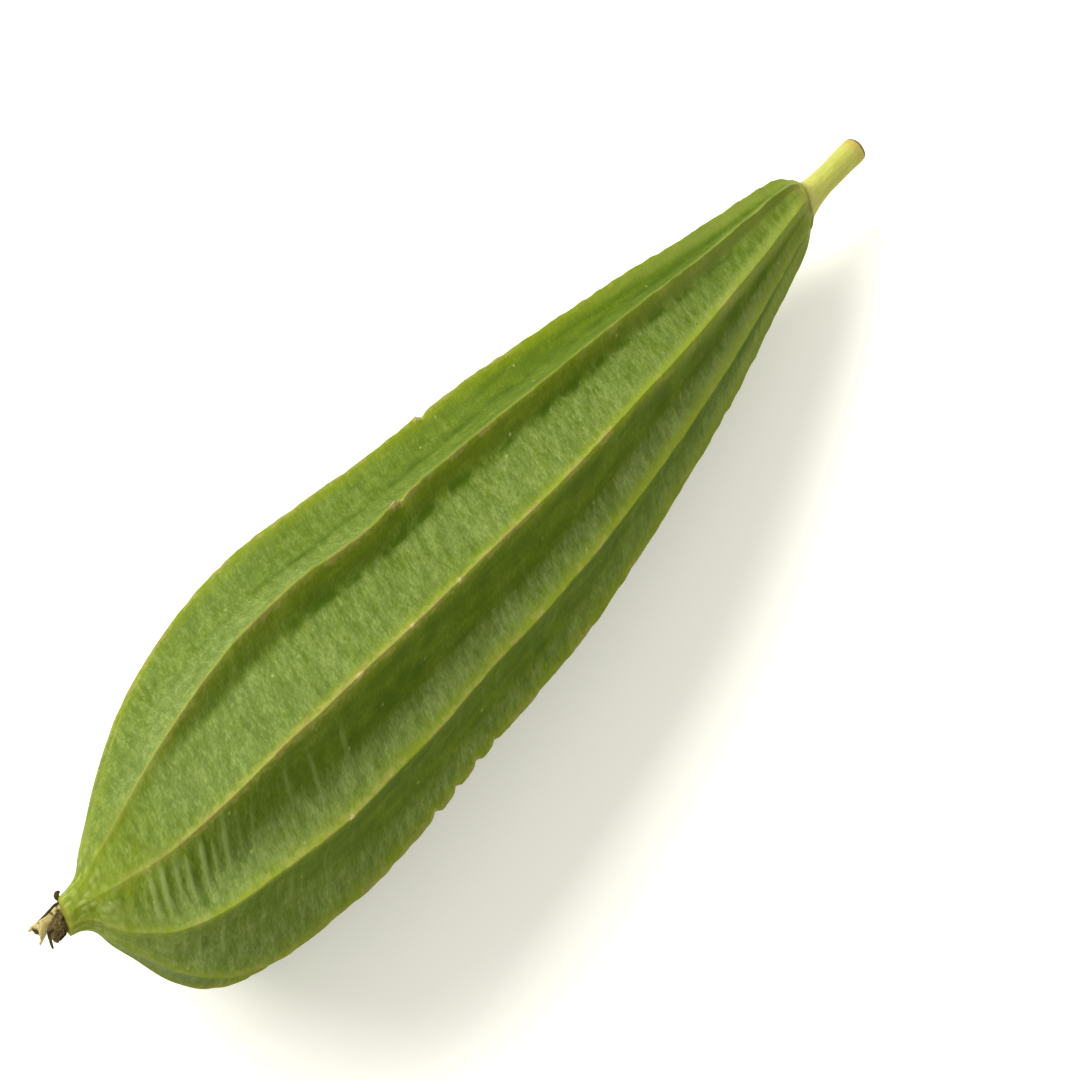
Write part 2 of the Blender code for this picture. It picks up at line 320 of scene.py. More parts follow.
def newGroup(name, inputs, outputs):
    tree = bpy.data.node_groups.new(name, "ShaderNodeTree")
    for label, kind, value in inputs:
        socket = tree.interface.new_socket(label, in_out="INPUT", socket_type=kind)
        if value is not None:
            socket.default_value = value
    for label, kind in outputs:
        tree.interface.new_socket(label, in_out="OUTPUT", socket_type=kind)
    start = tree.nodes.new("NodeGroupInput").outputs
    end = tree.nodes.new("NodeGroupOutput").inputs
    return tree, start, end


def calculate(tree, operation, *values, clamp=False):
    inputs = dict(enumerate(values))
    node = addNode(tree, "ShaderNodeMath", inputs, operation=operation, use_clamp=clamp)
    return node.outputs[0]


def inCells(tree, start, along, across):
    # the place, counted in cells of the pattern
    size = addNode(tree, "ShaderNodeCombineXYZ", {"X": start[along], "Y": start[across],
                                                  "Z": start[across]})
    return addNode(tree, "ShaderNodeVectorMath", {0: start["Place"], 1: size.outputs[0]},
                   operation="DIVIDE").outputs[0]


def noiseMask(tree, place, contrast, detail, roughness):
    noise = addNode(tree, "ShaderNodeTexNoise", {"Vector": place, "Scale": 1.0,
                                                 "Detail": detail, "Roughness": roughness})
    centred = calculate(tree, "SUBTRACT", noise.outputs["Fac"], 0.5)
    mask = calculate(tree, "MULTIPLY_ADD", centred, contrast, 0.5, clamp=True)
    return mask, noise.outputs["Fac"]


def mottleGroup():
    # broad soft patches
    tree, start, end = newGroup(
        "mottle",
        [("Place", "NodeSocketVector", None), ("Patch Size", "NodeSocketFloat", 20.0),
         ("Contrast", "NodeSocketFloat", 1.5)],
        [("Mask", "NodeSocketFloat")],
    )
    place = inCells(tree, start, "Patch Size", "Patch Size")
    mask = noiseMask(tree, place, start["Contrast"], detail=3.0, roughness=0.55)[0]
    tree.links.new(mask, end["Mask"])
    return tree


def grainGroup():
    # short fine streaks, Along mm long in the fruit's direction and Across mm round it
    tree, start, end = newGroup(
        "grain",
        [("Place", "NodeSocketVector", None), ("Along", "NodeSocketFloat", 0.6),
         ("Across", "NodeSocketFloat", 2.0), ("Contrast", "NodeSocketFloat", 2.0)],
        [("Mask", "NodeSocketFloat"), ("Height", "NodeSocketFloat")],
    )
    place = inCells(tree, start, "Along", "Across")
    mask, height = noiseMask(tree, place, start["Contrast"], detail=2.0, roughness=0.6)
    tree.links.new(mask, end["Mask"])
    tree.links.new(height, end["Height"])
    return tree


def speckleGroup():
    # flecks in a share of the cells, each cell Along by Across mm
    tree, start, end = newGroup(
        "speckle",
        [("Place", "NodeSocketVector", None), ("Along", "NodeSocketFloat", 2.0),
         ("Across", "NodeSocketFloat", 2.0), ("Fleck Size", "NodeSocketFloat", 0.2),
         ("Share", "NodeSocketFloat", 0.4)],
        [("Mask", "NodeSocketFloat")],
    )
    place = inCells(tree, start, "Along", "Across")
    cells = addNode(tree, "ShaderNodeTexVoronoi", {"Vector": place, "Scale": 1.0})
    near = calculate(tree, "DIVIDE", cells.outputs["Distance"], start["Fleck Size"])
    fleck = calculate(tree, "SUBTRACT", 1.4, near, clamp=True)  # full to 0.4 of its size
    split = addNode(tree, "ShaderNodeSeparateXYZ", {0: cells.outputs["Color"]}).outputs
    kept = calculate(tree, "LESS_THAN", split["X"], start["Share"])
    paler = calculate(tree, "MULTIPLY_ADD", split["Y"], 0.6, 0.4)  # no fleck under 0.4
    mask = calculate(tree, "MULTIPLY", calculate(tree, "MULTIPLY", fleck, kept), paler)
    tree.links.new(mask, end["Mask"])
    return tree


mottle, grain, speckle = mottleGroup(), grainGroup(), speckleGroup()
print("shader groups made")


def useGroup(tree, group, inputs):
    return addNode(tree, "ShaderNodeGroup", inputs, node_tree=group).outputs


def attribute(tree, name, output="Fac"):
    return addNode(tree, "ShaderNodeAttribute", attribute_name=name).outputs[output]


def mixColour(tree, share, under, over, blend="MIX"):
    node = addNode(tree, "ShaderNodeMix", data_type="RGBA", blend_type=blend)
    for key, value in ((0, share), (6, under), (7, over)):
        if isinstance(value, bpy.types.NodeSocket):
            tree.links.new(value, node.inputs[key])
        else:
            node.inputs[key].default_value = value if key == 0 else (*value, 1.0)
    return node.outputs[2]


def ramp(tree, value, low, high, toLow=0.0, toHigh=1.0):
    return addNode(tree, "ShaderNodeMapRange", {"Value": value, "From Min": low, "From Max": high,
                                                "To Min": toLow, "To Max": toHigh},
                   interpolation_type="SMOOTHSTEP").outputs["Result"]


def times(tree, first, second):
    return calculate(tree, "MULTIPLY", first, second)


def plus(tree, first, second):
    return calculate(tree, "ADD", first, second)


def product(tree, first, *others):
    for value in others:
        first = times(tree, first, value)
    return first


def patterns(tree, look, place, otherPlaces=None):
    # the masks and heights of all the patterns that a finish names
    masks, heights = {}, {}
    for name, (size, contrast) in look.get("patches", {}).items():
        inputs = {"Place": place, "Patch Size": size, "Contrast": contrast}
        masks[name] = useGroup(tree, mottle, inputs)["Mask"]
    for name, (length, girth, contrast) in look.get("streaks", {}).items():
        inputs = {"Place": place, "Along": length, "Across": girth, "Contrast": contrast}
        outputs = useGroup(tree, grain, inputs)
        masks[name], heights[name] = outputs["Mask"], outputs["Height"]
    for name, (length, girth, size, share) in look.get("flecks", {}).items():
        inputs = {"Place": (otherPlaces or {}).get(name, place), "Along": length,
                  "Across": girth, "Fleck Size": size, "Share": share}
        masks[name] = useGroup(tree, speckle, inputs)["Mask"]
    return masks, heights


def newMaterial(name, **shaderValues):
    material = bpy.data.materials.new(name)
    material.use_nodes = True
    shader = material.node_tree.nodes["Principled BSDF"]
    for label, value in shaderValues.items():
        shader.inputs[label].default_value = value
    return material, material.node_tree, shader


def bumpNormal(tree, shader, height, strength, distance):
    node = addNode(tree, "ShaderNodeBump", {"Height": height, "Strength": strength,
                                            "Distance": distance})
    tree.links.new(node.outputs[0], shader.inputs["Normal"])


def ridgeDepth(x):
    riseStart, riseEnd = fruitShape["ridgeRise"]
    fallStart, fallEnd = fruitShape["ridgeFall"]
    rise = (x - riseStart) / (riseEnd - riseStart)
    fall = (fallEnd - x) / (fallEnd - fallStart)
    return fruitShape["ridgeDepth"] * np.clip(np.minimum(rise, fall), fruitShape["leastRidge"], 1)


def ridgeLines(x, radius):
    # the angle of every ridge at each ring, wandering a little along the fruit
    count = fruitShape["ridges"]
    drift = np.array(fruitShape["ridgeDrift"])
    angles = np.radians((np.arange(count) - 0.5) * 360 / count + drift)
    wander = ridgeNoise("wander", x[:, None], np.arange(count)[None], 0.5)
    wander = wander * fruitRelief["crestWander"]
    for index, middle, half, sag in fruitRelief["sags"]:
        wander[:, index] += sag * bump(x, middle, half)
    least, full = fruitRelief["wanderRadii"]
    fade = np.clip(radius / full, 0, 1)[:, None]
    return angles[None] + wander * fade / np.maximum(radius, least)[:, None]


def crossFolds(x, ground, valley, v):
    # narrow folds across the valleys, unevenly spaced over the ground covered from the
    # blossom end, each valley with its own
    lengths = np.interp(ground[:, 0], *fruitRelief["foldLength"])
    count = np.concatenate([[0], np.cumsum(np.diff(ground[:, 0]) / lengths[1:])])[:, None]
    bend = ridgeNoise("bend", x, valley, v * fruitRelief["foldBendAcross"], octaves=1)
    u = count + fruitRelief["foldStagger"] * valley + fruitRelief["foldBend"] * bend
    cell = np.floor(u).astype(int)
    shape = (3, fruitShape["ridges"], fruitRelief["foldRolls"])
    rolls = np.random.default_rng(fruitRelief["seed"]).uniform(-1, 1, shape)
    shift, height, side = rolls[:, valley.astype(int), cell % fruitRelief["foldRolls"]]
    gap = u - cell - 0.5 - fruitRelief["foldShift"] * shift

    def rolled(name, roll):
        value, spread = fruitRelief[name]
        return value + spread * roll

    ends = bump(v, rolled("foldMiddles", side), rolled("foldReaches", height))
    fold = bump(gap, 0, fruitRelief["foldWidth"]) * rolled("foldHeights", height) * ends
    strength = np.full(x.shape, fruitRelief["foldEverywhere"])
    for index, middle, half, rib in fruitRelief["folds"]:
        strength = strength + np.where(valley == index, rib * bump(x, middle, half), 0)
    return (fold - fruitRelief["foldRest"]) * strength * (1 - np.abs(v) ** 3)


def perValley(values):
    return np.repeat(values, fruitMesh["pointsPerRidge"])[None]


def perCrest(name, nearRidge, stretch, x):
    # a value of each ridge's own, which changes along the fruit
    values = np.array(fruitRelief[name])[nearRidge.astype(int)]
    return values * np.interp(x, *fruitRelief[stretch])


def fruitGrid():
    # every point's distance along, radius, bow, ground covered from the blossom end and angle;
    # its valley, its place v across it from -1 to 1, and half that valley's angle
    curve = smoothCurve(fruitShape["stations"], fruitMesh["curveSteps"])
    curve = evenRows(curve, fruitMesh["rings"])
    x, radius, bow = curve.T
    ground = np.concatenate([[0], np.cumsum(np.hypot(np.diff(x), np.diff(radius)))])
    ridges = ridgeLines(x, radius)
    following = np.roll(ridges, -1, axis=1)
    following[:, -1] += math.tau
    steps, count = fruitMesh["pointsPerRidge"], fruitShape["ridges"]
    q = np.arange(steps) / steps * 2 - 1
    crowding = fruitMesh["crowding"]
    v = crowding * np.sin(q * math.pi / 2) + (1 - crowding) * q
    middle, half = (ridges + following) / 2, (following - ridges) / 2
    angle = (middle[..., None] + half[..., None] * v).reshape(len(x), -1)
    valley = np.repeat(np.arange(count), steps)[None] + np.zeros_like(angle)
    v = np.tile(v, count)[None] + np.zeros_like(angle)
    columns = [np.repeat(column[:, None], angle.shape[1], axis=1)
               for column in (x, radius, bow, ground)]
    return *columns, angle, valley, v, np.repeat(half, steps, axis=1)


def valleyShades(x, v, low, valley, standing, halfGirth):
    # painted shade on the valleys' dark sides and creases, its stronger green, and the painted grey
    # sheen
    shade = perValley(fruitRelief["valleyShade"])
    fadeIn = standing * np.interp(x, *fruitRelief["shadeStart"])
    reach = perValley(fruitRelief["shadeReach"]) * np.interp(x, *fruitRelief["reachStretch"])
    inside = np.sign(shade) * (low - v) + reach
    paintedShadeSide = np.abs(shade) * np.clip(inside * fruitRelief["flankEdge"], 0, 1) * fadeIn
    paleSide = (v - low - reach) * fruitRelief["sheenEdge"]
    paleSide = np.clip(paleSide + np.interp(x, *fruitRelief["tipSheen"]), 0, 1)
    creaseAway = (v - low + fruitRelief["creaseShift"] * np.sign(shade)) * halfGirth
    creaseShade = perValley(fruitRelief["valleyCrease"]) * fadeIn
    creaseShade = creaseShade * bump(creaseAway, 0, fruitRelief["creaseWidth"])
    shadeGreenShare = fruitRelief["flankShadeGreen"] * paintedShadeSide
    for index, middle, half, share, limit in fruitRelief["shadeGreens"]:
        near = np.clip((limit - v) * fruitRelief["shadeGreenEdge"], 0, 1)
        shadeGreenShare = np.maximum(shadeGreenShare, (valley == index) * share * near * bump(x, middle, half))
    paintedSheen = np.zeros_like(x)
    for index, middle, half, share in fruitRelief["paintedSheens"]:
        paintedSheen += (valley == index) * share * bump(x, middle, half) * paleSide
    return {"paintedShadeSide": paintedShadeSide, "creaseShade": creaseShade, "paintedSheen": paintedSheen, "shadeGreenShare": shadeGreenShare}


def crestRelief(x, nearRidge, crestDistance, crestWidth):
    # the beads along the crests with their nicks and torn tags, and the scars of those
    crestNoise = ridgeNoise("crest", x, nearRidge)
    onCrest = bump(crestDistance / crestWidth, 0, fruitRelief["beadWidth"])
    aroundCrest = bump(crestDistance, 0, fruitRelief["crestLumpWidth"])
    bead = onCrest * fruitRelief["beadHeight"] * crestWidth * (1 + crestNoise)
    crestLumps = aroundCrest * fruitRelief["crestLumps"] * crestNoise
    nick, tag, scar = np.zeros_like(x), np.zeros_like(x), np.zeros_like(x)
    for ridge, where, halfLength, drop in fruitRelief["nicks"]:
        here = (nearRidge == ridge) * bump(x, where, halfLength)
        nick += here * drop * bump(crestDistance, 0, fruitRelief["nickWidth"])
        scar += fruitRelief["nickScar"] * here * bump(crestDistance, 0, fruitRelief["scarWidth"])
    for ridge, where, halfLength, height in fruitRelief["tags"]:
        here = (nearRidge == ridge) * bump(x, where, halfLength)
        here = here * bump(crestDistance, 0, fruitRelief["tagWidth"])
        tag += here * height * (1 + crestNoise)
        scar += here
    return bead + crestLumps + tag - nick, np.clip(scar, 0, 1)


def fruitSurface():
    x, radius, bow, ground, angle, valley, v, halfWidth = fruitGrid()
    nearRidge = (valley + (v > 0)) % fruitShape["ridges"]
    low = perValley(fruitShape["valleyLow"])
    low = low + fruitShape["lowWander"] * ridgeNoise("low", x, valley)
    side = 1 + np.where(v < low, low, -low)
    rounding = fruitShape["valleyRounding"]
    rise = (np.hypot(v - low, rounding) - rounding) / (np.hypot(side, rounding) - rounding)
    depth = ridgeDepth(x)
    standing = depth / fruitShape["ridgeDepth"]
    sides = (fruitShape["narrowestSide"], fruitShape["widestSide"])
    power = np.interp(side, sides, fruitShape["sideFlatness"])
    deepening = perValley(fruitShape["valleyDeepening"])
    base = radius * (1 - depth * deepening * (1 - rise ** power))
    crestDistance = (1 - np.abs(v)) * halfWidth * radius
    crestWidth = perCrest("crestWidths", nearRidge, "crestGirth", x)

    place = np.stack([x, base * np.sin(angle), base * np.cos(angle)], axis=-1)
    lumps = fractalNoise(place / fruitRelief["lumpLength"], seed=21, octaves=2)
    lumps = lumps * fruitRelief["lumps"]
    folds = crossFolds(x, ground, valley, v)
    crests, scar = crestRelief(x, nearRidge, crestDistance, crestWidth)
    strength = np.clip(radius / fruitRelief["fullRelief"], 0, 1)
    reach = base + (strength * (lumps + folds) + standing * crests)

    radial = across(angle)
    grown = np.stack([x, reach * radial[..., 1], reach * radial[..., 2]], axis=-1)
    points = grown.copy()
    points[..., 0] -= fruitShape["lean"] * (reach[..., None] * radial) @ leanSide
    points[..., 1] -= bow
    plain = base[..., None] * radial
    plain[..., 0] += x - fruitShape["lean"] * (base[..., None] * radial) @ leanSide
    plain[..., 1] -= bow
    girth = fruitRelief["growthGirth"]
    masks = {
        "grown": grown,
        "growth": np.stack([ground, girth * radial[..., 1], girth * radial[..., 2]], axis=-1),
        "crestDistance": crestDistance,
        "crestReach": crestDistance / crestWidth,
        "standing": standing,
        "dry": perCrest("dryCrests", nearRidge, "dryStretch", x),
        **valleyShades(x, v, low, valley, standing, halfWidth * radius),
        "scar": scar,
        "fold": np.clip(folds / fruitRelief["fullFold"], -1, 1),
    }
    return points, plain, masks


def closeEnds(points, masks):
    # a few rings in to the middle of each end, which is slightly domed
    count = fruitMesh["capRings"]
    shares = (np.arange(1, count + 1) / (count + 1))[:, None, None] ** fruitMesh["capSpacing"]
    domes = fruitMesh["capDome"] * np.sqrt(1 - (1 - shares) ** 2) * np.array([1, 0, 0])

    def inward(ring, outward=0):
        return ring + (ring.mean(axis=0) - ring) * shares + outward * domes

    def held(ring):
        return np.repeat(ring[None], count, axis=0)

    closed = np.concatenate([inward(points[0], -1)[::-1], points, inward(points[-1], 1)])
    for label, values in masks.items():
        ends = inward if label in ("grown", "growth") else held
        masks[label] = np.concatenate([ends(values[0])[::-1], values, ends(values[-1])])
    return closed, masks


def restAttitude(plain):
    # the solid model's attitude, set against the solid fruit's own box
    turn = Matrix.Rotation(math.radians(fruitShape["pitch"]), 3, "Y")
    turn = np.array(turn @ Matrix.Rotation(math.radians(fruitShape["roll"]), 3, "X"))
    turned = plain.reshape(-1, 3) @ turn.T * mm
    low, high = turned.min(axis=0), turned.max(axis=0)
    solidLow, solidHigh = (np.array(corner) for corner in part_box("fruit"))
    shift = (solidLow + solidHigh - low - high) / 2
    shift[2] = -low[2] - fruitShape["flattening"] * mm
    return turn, shift


fruitPoints, fruitPlain, fruitMasks = fruitSurface()
turn, shift = restAttitude(fruitPlain)


def inWorld(points):
    # from the fruit's own frame in mm to the world in metres
    return np.asarray(points) @ turn.T * mm + shift


fruitPoints, fruitMasks = closeEnds(fruitPoints, fruitMasks)
fruitPoints = inWorld(fruitPoints)
fruitPoints[..., 2] = np.maximum(fruitPoints[..., 2], 0)
print("fruit surface worked out")

skinFinish = {
    "deepGreen": (0.046, 0.086, 0.000),
    "shadeGreen": (0.106, 0.152, 0.000),
    "midGreen": (0.105, 0.170, 0.001),
    "paleGreen": (0.165, 0.225, 0.010),
    "paintedRidgeLight": (0.240, 0.295, 0.060),
    "olive": (0.150, 0.165, 0.000),
    "greyGreen": (0.242, 0.308, 0.085),
    "yellowGreen": (0.190, 0.240, 0.002),
    "crestGreen": (0.190, 0.235, 0.016),
    "crestYellow": (0.265, 0.275, 0.050),
    "crestTan": (0.240, 0.220, 0.047),
    "scarTan": (0.450, 0.375, 0.135),
    "scarBrown": (0.260, 0.170, 0.035),
    "fleck": (0.420, 0.470, 0.170),
    "joint": (0.320, 0.290, 0.050),
    "crestWidth": 0.50,  # half the pale line along a crest, in widths of that crest
    "glowWidth": 3.2,  # mm of yellower green beside a crest
    "gloss": 0.1,
    # patches: size in mm, contrast
    "patches": {
        "broad": (16.0, 3.0), "oliveTint": (7.0, 3.5), "small": (2.6, 3.5), "cloudy": (5.0, 5.0),
        "greyTint": (10.0, 3.5), "sheenPatches": (3.5, 3.0), "creased": (4.5, 4.0), "ragged": (1.3, 2.6),
        "worn": (4.0, 3.0), "dried": (6.0, 4.0), "tanned": (4.0, 5.0), "scarred": (1.2, 4.0),
    },
    # streaks: mm along the fruit, mm round it, contrast
    "streaks": {
        "short": (1.3, 3.8, 4.5), "fine": (0.4, 0.9, 3.5), "slow": (1.9, 6.5, 4.5),
        "marks": (2.8, 9.0, 3.5), "lengthwise": (11.0, 2.4, 4.5),
    },
    # flecks: mm along and round a cell, a fleck's size, share of the cells with one
    "flecks": {
        # the blots are painted shadow on the valleys' dark sides
        "specks": (0.6, 1.7, 0.34, 0.55), "shadowBlots": (8.0, 5.0, 0.40, 0.65),
        "tipFlecks": (2.3, 1.6, 0.42, 0.6), "paleDots": (3.5, 3.5, 0.10, 0.25),
        "darkDots": (4.5, 4.5, 0.07, 0.35),
    },
    # layers of colour, in order: pattern, strength, colour
    "groundLayers": (
        ("oliveTint", 0.50, "olive"), ("small", 0.50, "deepGreen"), ("marks", 0.25, "deepGreen"),
        ("cloudy", 0.22, "deepGreen"),
    ),
    "grainLayers": (
        ("short", 0.52, "greyGreen"), ("slow", 0.40, "deepGreen"), ("fine", 0.45, "deepGreen"),
        ("specks", 0.45, "greyGreen"),
    ),
    # the grain over the stronger green of the painted shade on the valleys' dark sides
    "shadeGrainLayers": (
        ("short", 0.40, "midGreen"), ("fine", 0.45, "deepGreen"), ("specks", 0.25, "yellowGreen"),
    ),
    # a ramp is where it starts, where it ends, and the strength at each; places are mm from a
    # crest or mm along the fruit, and the rest are shares
    # darker away from the crests: partly the skin's own darker valleys, partly painted shade
    "valleyDarkAndShade": (2.0, 8.0, 0.0, 0.15),
    "greyStrength": 0.22,
    "sheenRamp": (0.1, 0.9, 0.20, 0.60),
    "shadeGreenRamp": (0.0, 1.0, 0.9, 0.6),
    "lengthwiseRamp": (0.0, 0.8, 0.05, 0.50),
    "shadowBlotStrength": 0.7,
    "creaseRamp": (0.0, 1.0, 0.12, 0.85),
    "glowAcross": (0.2, 0.0, 0.7),  # the rest of a ramp that starts at glowWidth
    "glowPatches": (0.0, 1.0, 0.5, 1.0),
    # less of the yellower green in the painted shade, so that it is partly painted light
    "glowOnFlank": (0.0, 1.0, 1.0, 0.55),
    "glowNearStem": (150.0, 215.0, 1.0, 0.25),
    "glowNearTip": (15.0, 75.0, 0.35, 1.0),
    "stemStretch": (150.0, 215.0, 0.0, 1.0),
    # near the stem: painted light as a pale band on each ridge, painted shade between the ridges
    "bandAcross": (3.6, 1.0, 0.0, 0.45),
    "betweenAcross": (1.8, 4.5, 0.0, 0.22),
    "tipYellow": (22.0, 0.0, 0.0, 0.58),
    "stemYellow": (200.0, 244.0, 0.0, 0.3),
    "yellowGrain": (0.0, 1.0, 0.5, 1.0),
    # painted light on the tops of the cross folds, painted shade in their troughs
    "foldLight": (0.1, 1.0, 0.0, 0.60),
    "foldShade": (-0.05, -0.4, 0.0, 0.45),
    "tipFleckStretch": (12.0, 4.0, 0.0, 1.0),
    "tipFleckStrength": 0.5,
    "paleDotStrength": 0.5,
    "darkDotStrength": 0.7,
    "crestEdge": (2.8, 0.4),  # where the line starts and where it is full, in crestWidths
    "crestRagged": (0.0, 1.0, -0.36, 0.46),
    "crestWorn": (0.0, 0.6, 0.6, 0.95),
    "crestStanding": (0.1, 1.0, 0.2, 1.0),
    "crestNearStem": (175.0, 230.0, 1.0, 0.35),
    "driedPatches": (0.0, 1.0, -0.35, 0.35),
    "driedYellow": (0.1, 0.6, 0.0, 1.0),
    "driedTan": (0.35, 0.85, 0.0, 1.0),
    "tanPatches": (0.2, 0.8, 0.0, 1.0),
    "scarPatches": (0.4, 1.0, 0.0, 1.0),
    "scarRamp": (0.25, 0.8, 0.0, 0.85),
    "tipJoint": (0.7, 0.0, 0.0, 0.5),
    "stemJoint": (238.5, 243.2, 0.0, 0.8),
    "jointPatches": (0.0, 0.6, 0.5, 1.0),
    "roughness": (0.0, 1.0, 0.52, 0.68),  # by the short streaks
    "crestRoughness": 0.25,  # more on a crest
    "fineHeight": 0.7,  # the fine grain's share of the bump
    "bump": (0.45, 0.2),  # strength, mm
}


def skinMaterial():
    look = skinFinish
    material, tree, shader = newMaterial("skin", **{"Specular IOR Level": look["gloss"]})
    grown = attribute(tree, "grown", "Vector")
    growth = attribute(tree, "growth", "Vector")
    paintedShadeSide = attribute(tree, "paintedShadeSide")
    shadeGreenShare = attribute(tree, "shadeGreenShare")
    fold = attribute(tree, "fold")
    crestDistance = attribute(tree, "crestDistance")
    along = addNode(tree, "ShaderNodeSeparateXYZ", {0: grown}).outputs["X"]

    def shaped(value, name):
        return ramp(tree, value, *look[name])

    def paint(under, mask, strength, name):
        return mixColour(tree, times(tree, mask, strength), under, look[name])

    masks, heights = patterns(tree, look, grown, {"tipFlecks": growth})
    colour = mixColour(tree, masks["broad"], look["midGreen"], look["paleGreen"])
    for pattern, strength, name in look["groundLayers"]:
        colour = paint(colour, masks[pattern], strength, name)
    # darker away from the crests: partly the skin's own darker valleys, partly painted shade
    colour = mixColour(tree, shaped(crestDistance, "valleyDarkAndShade"), colour, look["deepGreen"])
    colour = paint(colour, masks["greyTint"], look["greyStrength"], "greyGreen")
    # painted sheen: grey-green on the side of each valley after its lowest line
    sheenPatches = shaped(masks["sheenPatches"], "sheenRamp")
    colour = paint(colour, attribute(tree, "paintedSheen"), sheenPatches, "greyGreen")
    for pattern, strength, name in look["grainLayers"]:
        colour = paint(colour, masks[pattern], strength, name)

    # painted shade: a stronger green on the valleys' dark sides, which keeps a grain of its own
    colour = paint(colour, shadeGreenShare, shaped(masks["small"], "shadeGreenRamp"), "shadeGreen")
    for pattern, strength, name in look["shadeGrainLayers"]:
        colour = paint(colour, times(tree, shadeGreenShare, masks[pattern]), strength, name)
    # dark lengthwise streaks, strongest in the painted shade
    colour = paint(colour, masks["lengthwise"], shaped(shadeGreenShare, "lengthwiseRamp"), "deepGreen")
    # painted shadow: dark blots on the valleys' dark sides
    colour = paint(colour, times(tree, masks["shadowBlots"], paintedShadeSide), look["shadowBlotStrength"], "deepGreen")
    # painted shade along each valley's lowest crease
    creased = shaped(masks["creased"], "creaseRamp")
    colour = paint(colour, attribute(tree, "creaseShade"), creased, "deepGreen")

    # a yellower green beside the crests, the skin's own, with less of it in the painted shade:
    # partly painted light
    crestYellowAndLight = product(
        tree, ramp(tree, crestDistance, look["glowWidth"], *look["glowAcross"]),
        shaped(masks["small"], "glowPatches"),
        shaped(paintedShadeSide, "glowOnFlank"), shaped(along, "glowNearStem"),
        shaped(along, "glowNearTip"),
    )
    colour = mixColour(tree, crestYellowAndLight, colour, look["yellowGreen"])
    # towards the stem the ridges are painted rounder: pale bands of painted light, painted shade
    # between
    nearStem = shaped(along, "stemStretch")
    colour = paint(colour, nearStem, shaped(crestDistance, "bandAcross"), "paintedRidgeLight")
    colour = paint(colour, nearStem, shaped(crestDistance, "betweenAcross"), "deepGreen")
    tips = plus(tree, shaped(along, "tipYellow"), shaped(along, "stemYellow"))
    colour = paint(colour, tips, shaped(masks["short"], "yellowGrain"), "yellowGreen")
    # painted light on the tops of the cross folds, painted shade in their troughs
    colour = mixColour(tree, shaped(fold, "foldLight"), colour, look["greyGreen"])
    colour = mixColour(tree, shaped(fold, "foldShade"), colour, look["deepGreen"])
    tipFlecks = times(tree, masks["tipFlecks"], shaped(along, "tipFleckStretch"))
    colour = paint(colour, tipFlecks, look["tipFleckStrength"], "fleck")
    colour = paint(colour, masks["paleDots"], look["paleDotStrength"], "fleck")
    colour = paint(colour, masks["darkDots"], look["darkDotStrength"], "deepGreen")

    ragged = plus(tree, attribute(tree, "crestReach"), shaped(masks["ragged"], "crestRagged"))
    outerEdge, innerEdge = (look["crestWidth"] * share for share in look["crestEdge"])
    crest = product(
        tree, ramp(tree, ragged, outerEdge, innerEdge), shaped(masks["worn"], "crestWorn"),
        shaped(attribute(tree, "standing"), "crestStanding"), shaped(along, "crestNearStem"),
    )
    dried = plus(tree, attribute(tree, "dry"), shaped(masks["dried"], "driedPatches"))
    crestColour = mixColour(tree, shaped(dried, "driedYellow"), look["crestGreen"],
                            look["crestYellow"])
    tanned = shaped(masks["tanned"], "tanPatches")
    crestColour = paint(crestColour, tanned, shaped(dried, "driedTan"), "crestTan")
    colour = mixColour(tree, crest, colour, crestColour)
    scarColour = mixColour(tree, shaped(masks["scarred"], "scarPatches"), look["scarTan"],
                           look["scarBrown"])
    colour = mixColour(tree, shaped(attribute(tree, "scar"), "scarRamp"), colour, scarColour)
    ends = plus(tree, shaped(along, "tipJoint"), shaped(along, "stemJoint"))
    colour = paint(colour, ends, shaped(masks["small"], "jointPatches"), "joint")
    tree.links.new(colour, shader.inputs["Base Color"])

    rough = shaped(masks["short"], "roughness")
    rough = plus(tree, rough, times(tree, crest, look["crestRoughness"]))
    tree.links.new(rough, shader.inputs["Roughness"])
    height = plus(tree, heights["short"], times(tree, heights["fine"], look["fineHeight"]))
    strength, distance = look["bump"]
    bumpNormal(tree, shader, height, strength, distance * mm)
    return material


fruit = loftMesh("gourd_skin", fruitPoints, fruitMasks)
standFor(fruit, "fruit", skinMaterial())


stemShape = {
    # distance from the fruit, radius, sideways bow, in mm
    "stations": (
        (-2.4, 5.9, 0.0), (-1.6, 6.2, 0.0), (-0.8, 5.7, 0.0), (0.0, 5.0, 0.0), (1.0, 4.4, 0.0),
        (2.3, 3.9, 0.0), (4.2, 3.5, -0.1), (7.0, 3.2, -0.2),
        (12.0, 3.1, -0.3), (17.0, 3.2, -0.4), (20.5, 3.2, -0.4), (21.3, 3.0, -0.4),
        (21.65, 2.6, -0.4),
    ),
    "curveSteps": 12,  # from one station to the next
    "rings": 100,
    "sides": 72,
    "ribs": 5,
    "ribHeight": 0.02,  # share of the radius
    # height, length, width, radius that the width is measured on, all in mm
    "striations": (0.05, 14.0, 0.45, 2.6),
    "lumps": (0.10, 6.0, 1.2, 1.0),
    "cutLean": 0.05,
    "leanFade": 4.0,  # mm
    "cutRings": 8,
    "cutReach": 0.92,  # how far in from the rim they run
    "cutDish": 0.35,  # mm that the cut face has sunk
    "dishSlope": 1.6,  # over 1 reaches that depth before the middle
    "cutLumps": (0.12, 0.9),  # height, size in mm
    "cutEdge": (20.2, 1.5),  # mm along where the cut's mask starts to rise, mm for a rise of 1
}

